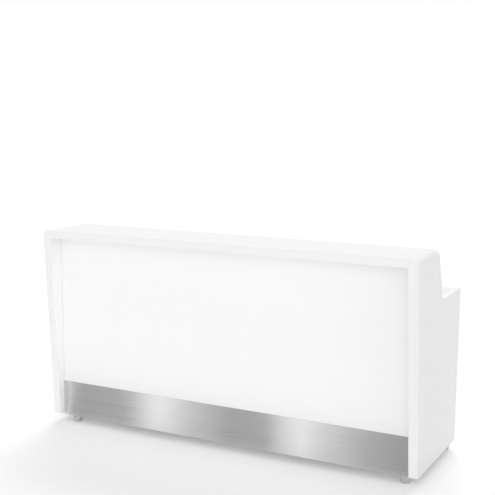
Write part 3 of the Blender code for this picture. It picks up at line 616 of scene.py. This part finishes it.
def level_pin(name, side_x, inward, y, z):
    """A pin that stands out of a bay's side; its collar is pulled out of the bar's root."""
    bpy.ops.object.select_all(action="DESELECT")
    bpy.ops.mesh.primitive_cylinder_add(
        vertices=PIN_FACETS, radius=PIN_RADIUS, depth=PIN_REACH - COLLAR,
        rotation=(0.0, math.pi / 2, 0.0),
        location=(side_x + inward * (COLLAR + PIN_REACH) / 2, y, z))
    pin = bpy.context.object
    pin.name = name
    bpy.ops.object.transform_apply(location=True, rotation=True, scale=True)
    root_x = side_x + inward * COLLAR
    choose(pin, "FACE", lambda f: abs(f.normal.x) > FACING and abs(middle(f).x - root_x) < NEAR)
    bpy.ops.mesh.extrude_region_move(TRANSFORM_OT_translate={"value": (0.0, 0.0, 0.0)})
    wide = COLLAR_RADIUS / PIN_RADIUS
    bpy.ops.transform.resize(value=(1.0, wide, wide), center_override=(root_x, y, z))
    bpy.ops.mesh.extrude_region_move(
        TRANSFORM_OT_translate={"value": (-inward * (COLLAR - SIDE_PLAY), 0.0, 0.0)})
    bpy.ops.mesh.select_all(action="SELECT")
    bpy.ops.mesh.normals_make_consistent(inside=False)
    bpy.ops.object.mode_set(mode="OBJECT")
    round_off(pin, COLLAR_EDGE, COLLAR_SEGMENTS,
              lambda e: outward(e) and abs(middle(e).x - side_x) > COLLAR / 2)
    smooth(pin)
    fit(pin, turned_steel, "counter", "brushed_stainless")


for shelf in ("shelf_left", "shelf_centre", "shelf_right"):
    shelf_low, shelf_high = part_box(shelf)
    pin_z = shelf_low.z - PIN_RADIUS - GLUE_LINE
    for k, pin_y in enumerate(PIN_PLACES_Y):
        level_pin(f"pin_{shelf}_low_{k + 1}", shelf_low.x, 1.0, pin_y, pin_z)
        level_pin(f"pin_{shelf}_high_{k + 1}", shelf_high.x, -1.0, pin_y, pin_z)

# Light box
# White coated channels hold the opal sheet; behind it four aluminium rails carry flexible
# lamp tapes, fed by a finned driver in the plinth through a white lead.
LAMP_PITCH = 0.0667
LAMP_HALF = 0.0025
LAMP_GLOW = (0.15, 0.9)
TAPE_GRAIN_PER_M = 500.0
TAPE_SHADES = (0.82, 0.90)
TAPE_ROUGHNESS = (0.45, 0.15)
TAPE_RELIEF = 0.00004

coat = grained("white_coat", per_metre=1100.0, shades=(0.85, 0.88), roughness=(0.42, 0.08),
               depth=0.00003)
refinish(coat, "diffuser_channel_low", "diffuser_channel_top")
refinish(aluminium, "led_rail_1", "led_rail_2", "led_rail_3", "led_rail_4", "led_driver")

sheath = grained("lead_sheath", per_metre=700.0, shades=(0.77, 0.82), roughness=(0.45, 0.12),
                 depth=0.00003)
refinish(sheath, "led_lead", "supply_lead")

lamps, shader, place = new_finish("lamp_tape", Emission_Strength=1.0)
across = place.node("ShaderNodeSeparateXYZ", {}, {0: place}, "X")
from_lamp = across.maths("PINGPONG", across, LAMP_PITCH / 2)
lamp = from_lamp.maths("LESS_THAN", from_lamp, LAMP_HALF)
print_grain = noise(place, TAPE_GRAIN_PER_M)
feed(shader, "Base Color", shade(print_grain, *TAPE_SHADES))
feed(shader, "Emission Color", shade(lamp, *LAMP_GLOW))
feed(shader, "Roughness", rise(print_grain, *TAPE_ROUGHNESS))
feed(shader, "Normal", relief(print_grain, TAPE_RELIEF))
refinish(lamps, "led_tape_1", "led_tape_2", "led_tape_3", "led_tape_4")

# Lit front
# A sheet of opal acrylic with a satin face, held in the channels and lit from behind. It
# glows evenly and dims towards its rim, partly where no lamp stands behind it and partly as
# painted shade of the fascia above it and the right end panel beside it.
GLOW = 0.425
OPAL_GRAIN_PER_M = 600.0
OPAL_SHADES = (0.49, 0.51)
OPAL_ROUGHNESS = (0.40, 0.08)
OPAL_RELIEF = 0.00002
# Each rim has the share of light that it lacks, and how far in that share dies away. The
# shares of the top and the right rim hold painted shade of the fascia and the right end panel.
LOW_RIM = (0.18, 0.08)
TOP_RIM = (0.11, 0.05)
LEFT_RIM = (0.05, 0.10)
RIGHT_RIM = (0.12, 0.15)

opal, shader, place = new_finish("opal_acrylic", Emission_Strength=1.0)
sheet_low, sheet_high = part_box("front_diffuser")
across = place.node("ShaderNodeSeparateXYZ", {}, {0: place}, "X")
up = place.node("ShaderNodeSeparateXYZ", {}, {0: place}, "Z")


def rim_fall_and_shade(distance, rim):
    """The share of glow, lost to fall-off and painted shade, lacking at a distance inside a rim.
    """
    lost, width = rim
    near = distance / -width
    return lost * near.maths("EXPONENT", near)


# The rims darken the glow: fall-off, and painted shade of the fascia and the right end panel.
sides = rim_fall_and_shade(across - sheet_low.x, LEFT_RIM) + rim_fall_and_shade(sheet_high.x - across, RIGHT_RIM)
ends = rim_fall_and_shade(up - sheet_low.z, LOW_RIM) + rim_fall_and_shade(sheet_high.z - up, TOP_RIM)
glow = GLOW * (1.0 - sides - ends)
satin = noise(place, OPAL_GRAIN_PER_M)
feed(shader, "Base Color", shade(satin, *OPAL_SHADES))
feed(shader, "Emission Color", glow.node("ShaderNodeCombineXYZ", {}, {0: glow, 1: glow, 2: glow}))
feed(shader, "Roughness", rise(satin, *OPAL_ROUGHNESS))
feed(shader, "Normal", relief(satin, OPAL_RELIEF))
refinish(opal, "front_diffuser")

# Mains inlet
# A moulded black inlet pushed into the back panel on the staff side, with its rocker switch
# beside the socket. The rocker is marked with a bar and a ring.
MARK_UP = 0.0050
MARK_HEIGHT = 0.0042
MARK_LINE = 0.0007
MARK_GAP = GLUE_LINE / 10
MARK_PROUD = 0.00012
RING_SLANT = 16.0
RING_FLAT = 0.4
INK_GRAIN_PER_M = 3000.0
INK_SHADES = (0.78, 0.84)
INK_ROUGHNESS = (0.45, 0.10)

black = grained("moulded_plastic", per_metre=2500.0, shades=(0.022, 0.034),
                roughness=(0.38, 0.14), depth=0.00004)
refinish(black, "power_inlet", "switch_rocker")

print_white, shader, place = new_finish("printed_mark")
ink = noise(place, INK_GRAIN_PER_M)
feed(shader, "Base Color", shade(ink, *INK_SHADES))
feed(shader, "Roughness", rise(ink, *INK_ROUGHNESS))

rocker_low, rocker_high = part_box("switch_rocker")
rocker_x = (rocker_low.x + rocker_high.x) / 2
rocker_z = (rocker_low.z + rocker_high.z) / 2
pressed_y = max(v.co.y for v in nodes["switch_rocker"].data.vertices
                if v.co.z > rocker_z + MARK_UP)
on_mark = block("mark_on", (rocker_x - MARK_LINE / 2, pressed_y + MARK_GAP,
                            rocker_z + MARK_UP - MARK_HEIGHT / 2),
                (rocker_x + MARK_LINE / 2, pressed_y + MARK_PROUD,
                 rocker_z + MARK_UP + MARK_HEIGHT / 2))
fit(on_mark, print_white, "rocker", "lead_sheath")
slant = math.radians(RING_SLANT)
bpy.ops.object.select_all(action="DESELECT")
bpy.ops.mesh.primitive_torus_add(
    major_radius=MARK_HEIGHT / 2 - MARK_LINE / 2, minor_radius=MARK_LINE / 2,
    major_segments=32, minor_segments=8, rotation=(math.pi / 2 + slant, 0.0, 0.0),
    location=(rocker_x, pressed_y + MARK_UP * math.tan(slant), rocker_z - MARK_UP))
off_mark = bpy.context.object
off_mark.name = "mark_off"
off_mark.scale = (1.0, 1.0, RING_FLAT)
bpy.ops.object.transform_apply(location=True, rotation=True, scale=True)
smooth(off_mark, below_degrees=60.0)
fit(off_mark, print_white, "rocker", "lead_sheath")

# Floor and backdrop
# A pale matt floor, far wider than the view, with no wall behind it. It runs out to white for
# the camera, and keeps the counter's soft shadow.
FLOOR_REACH = 30.0
FLOOR_COLOUR = 0.86
FLOOR_LIFT = 0.20

bpy.ops.object.select_all(action="DESELECT")
bpy.ops.mesh.primitive_plane_add(size=FLOOR_REACH)
floor = bpy.context.object
floor.name = "studio_floor"
paper = bpy.data.materials.new("studio_paper")
paper.use_nodes = True
paper.node_tree.nodes.clear()
start = Signal(paper.node_tree)


def seen_ray(source):
    """1 on rays that show the surface to the camera, straight or through a gloss."""
    path = {}
    for output in ("Is Camera Ray", "Is Glossy Ray", "Is Transmission Ray"):
        path[output] = source.node("ShaderNodeLightPath", output=output)
    either = source.maths("MAXIMUM", path["Is Camera Ray"], path["Is Glossy Ray"])
    return source.maths("MAXIMUM", either, path["Is Transmission Ray"])


matt = start.node("ShaderNodeBsdfDiffuse", {}, {"Color": (FLOOR_COLOUR,) * 3 + (1.0,)})
lift = start.node("ShaderNodeEmission", {}, {"Strength": FLOOR_LIFT * seen_ray(start)})
both = start.node("ShaderNodeAddShader", {}, {0: matt, 1: lift})
end = paper.node_tree.nodes.new("ShaderNodeOutputMaterial")
paper.node_tree.links.new(end.inputs["Surface"], both.socket)
floor.data.materials.append(paper)

# Light
# Soft daylight from all round. Two high lamps behind the counter throw its shadow towards the
# guests, and a wide low one stands on the guests' side. A tall near lamp lights the left
# panel's inner face, and a long one close to the floor the lower ends of the front.
SKY = 0.58

world = bpy.data.worlds.new("studio")
bpy.context.scene.world = world
world.use_nodes = True
sky = Signal(world.node_tree)
background = world.node_tree.nodes["Background"]
background.inputs["Color"].default_value = (1.0, 1.0, 1.0, 1.0)
feed(background, "Strength", SKY + (1.0 - SKY) * seen_ray(sky))


def distant_lamp(name, azimuth, elevation, spread, level):
    """A soft lamp far off; level is what a white surface that faces it gives back."""
    lamp = bpy.data.lights.new(name, "SUN")
    lamp.energy = level * math.pi
    lamp.angle = math.radians(spread)
    holder = bpy.data.objects.new(name, lamp)
    tilt = math.radians(90.0 - elevation)
    holder.rotation_euler = (tilt, 0.0, math.radians(azimuth))
    bpy.context.scene.collection.objects.link(holder)
    return holder


rear_lamp = distant_lamp("rear_lamp", azimuth=181.0, elevation=45.0, spread=38.0, level=0.32)
rear_left_lamp = distant_lamp("rear_left_lamp", azimuth=215.0, elevation=45.0, spread=26.0,
                              level=0.14)
distant_lamp("front_lamp", azimuth=22.0, elevation=11.0, spread=60.0, level=0.38)


def near_lamp(name, place, aim, size, spread, watts):
    """A rectangular lamp behind a grid, which keeps its light together."""
    lamp = bpy.data.lights.new(name, "AREA")
    lamp.shape = "RECTANGLE"
    lamp.size, lamp.size_y = size
    lamp.spread = math.radians(spread)
    lamp.energy = watts
    holder = bpy.data.objects.new(name, lamp)
    holder.location = place
    holder.rotation_euler = (Vector(aim) - Vector(place)).to_track_quat("-Z", "Y").to_euler()
    bpy.context.scene.collection.objects.link(holder)
    return holder


side_lamp = near_lamp("side_lamp", place=(1.90, -0.72, 0.62), aim=(-1.03, -0.32, 0.58),
                      size=(0.30, 1.10), spread=30.0, watts=0.52)
low_lamp = near_lamp("low_lamp", place=(0.30, -2.20, 0.12), aim=(0.10, -0.34, 0.06),
                     size=(2.40, 0.10), spread=40.0, watts=0.45)
# A gloss mirrors the front lamp alone, and neither near lamp shows in the picture.
for holder in (rear_lamp, rear_left_lamp, side_lamp, low_lamp):
    holder.visible_glossy = False
for holder in (side_lamp, low_lamp):
    holder.visible_camera = False

# Card
# A sheet in graded greys lies before the counter and stands up beyond it, and only a gloss
# sees it. It draws soft upright bands in the brushed plinth, as the flags of a studio do.
CARD_SIDES = (-1.30, 1.30)
CARD_FAR_Y = -4.0
CARD_HEIGHT = 3.0
CARD_LIFT = 0.0004
CARD_GAP = 0.08
CARD_CUTS = 12
# Near the plate the card is darker: a painted shadow of the counter on the floor it covers.
NEAR_SHADE = 0.80
NEAR_REACH = 0.70
BRIGHTEST = 1.30
# Each pair is a place along the plate and the share of the brightest grey that it shows.
CARD_GREYS = ((-1.00, 1.00), (-0.97, 0.48), (-0.88, 0.40), (-0.78, 0.43), (-0.62, 0.43),
              (-0.54, 0.60), (-0.43, 0.97), (-0.37, 1.00), (-0.20, 0.69), (0.04, 0.43),
              (0.25, 0.43), (0.34, 0.75), (0.45, 1.00), (0.58, 0.76), (0.80, 0.49), (1.00, 0.37))
# Where the camera stands.
VIEW_X = 2.413
VIEW_Y = -4.5985

card_near_y = plate_low.y - CARD_GAP
card_width = CARD_SIDES[1] - CARD_SIDES[0]


def fan(x, y):
    """The place, at a distance y, that the plate mirrors to the camera at its own place x."""
    return VIEW_X + (x - VIEW_X) * (y - 2 * plate_low.y + VIEW_Y) / (VIEW_Y - plate_low.y)


bpy.ops.object.select_all(action="DESELECT")
bpy.ops.mesh.primitive_plane_add(size=1.0, location=(
    sum(CARD_SIDES) / 2, (card_near_y + CARD_FAR_Y) / 2, CARD_LIFT))
card = bpy.context.object
card.name = "graded_card"
card.scale = (card_width, card_near_y - CARD_FAR_Y, 1.0)
bpy.ops.object.transform_apply(location=True, rotation=True, scale=True)
for side in CARD_SIDES:
    for y in (card_near_y, CARD_FAR_Y):
        shift(card, lambda v: abs(v.co.x - side) < NEAR and abs(v.co.y - y) < NEAR,
              (fan(side, y) - side, 0.0, 0.0))
choose(card, "FACE", lambda f: True)
bpy.ops.mesh.subdivide(number_cuts=CARD_CUTS)
bpy.ops.object.mode_set(mode="OBJECT")
choose(card, "EDGE", lambda e: all(v.co.y < CARD_FAR_Y + NEAR for v in e.verts))
bpy.ops.mesh.extrude_region_move(TRANSFORM_OT_translate={"value": (0.0, 0.0, CARD_HEIGHT)})
bpy.ops.object.mode_set(mode="OBJECT")
greys = bpy.data.materials.new("graded_card")
greys.use_nodes = True
greys.node_tree.nodes.clear()
start = Signal(greys.node_tree)
printed = start.node("ShaderNodeTexCoord", output="UV")
along = start.node("ShaderNodeSeparateXYZ", {}, {0: printed}, "X")
stops = [((x - CARD_SIDES[0]) / card_width, share) for x, share in CARD_GREYS]
grey = start.node("ShaderNodeValToRGB", {"stops": stops}, {"Fac": along})
place = start.node("ShaderNodeTexCoord", output="Object")
ahead = plate_low.y - start.node("ShaderNodeSeparateXYZ", {}, {0: place}, "Y")
reached = start.maths("MINIMUM", ahead / NEAR_REACH, 1.0)
# The grey dims near the plate, a painted shadow of the counter on the floor.
strength = BRIGHTEST * grey * (NEAR_SHADE + (1.0 - NEAR_SHADE) * reached)
lit = start.node("ShaderNodeEmission", {}, {"Strength": strength})
end = greys.node_tree.nodes.new("ShaderNodeOutputMaterial")
greys.node_tree.links.new(end.inputs["Surface"], lit.socket)
card.data.materials.append(greys)
card.visible_camera = False
card.visible_diffuse = False
card.visible_shadow = False

# Camera
# It stands where the photograph was taken from, with the same lens. Both were worked out from
# the counter's straight edges in the photograph.
VIEW_Z = 1.828
CAMERA_YAW = 27.60
CAMERA_DOWN = 6.55
LENS = 71.56
SENSOR = 36.0
HORIZON_SHIFT = -0.0764

lens = bpy.data.cameras.new("camera")
lens.lens = LENS
lens.sensor_width = SENSOR
lens.shift_y = HORIZON_SHIFT
camera = bpy.data.objects.new("camera", lens)
camera.location = (VIEW_X, VIEW_Y, VIEW_Z)
camera.rotation_euler = (math.radians(90.0 - CAMERA_DOWN), 0.0, math.radians(CAMERA_YAW))
bpy.context.scene.collection.objects.link(camera)
bpy.context.scene.camera = camera
bpy.context.scene.view_settings.view_transform = "Standard"
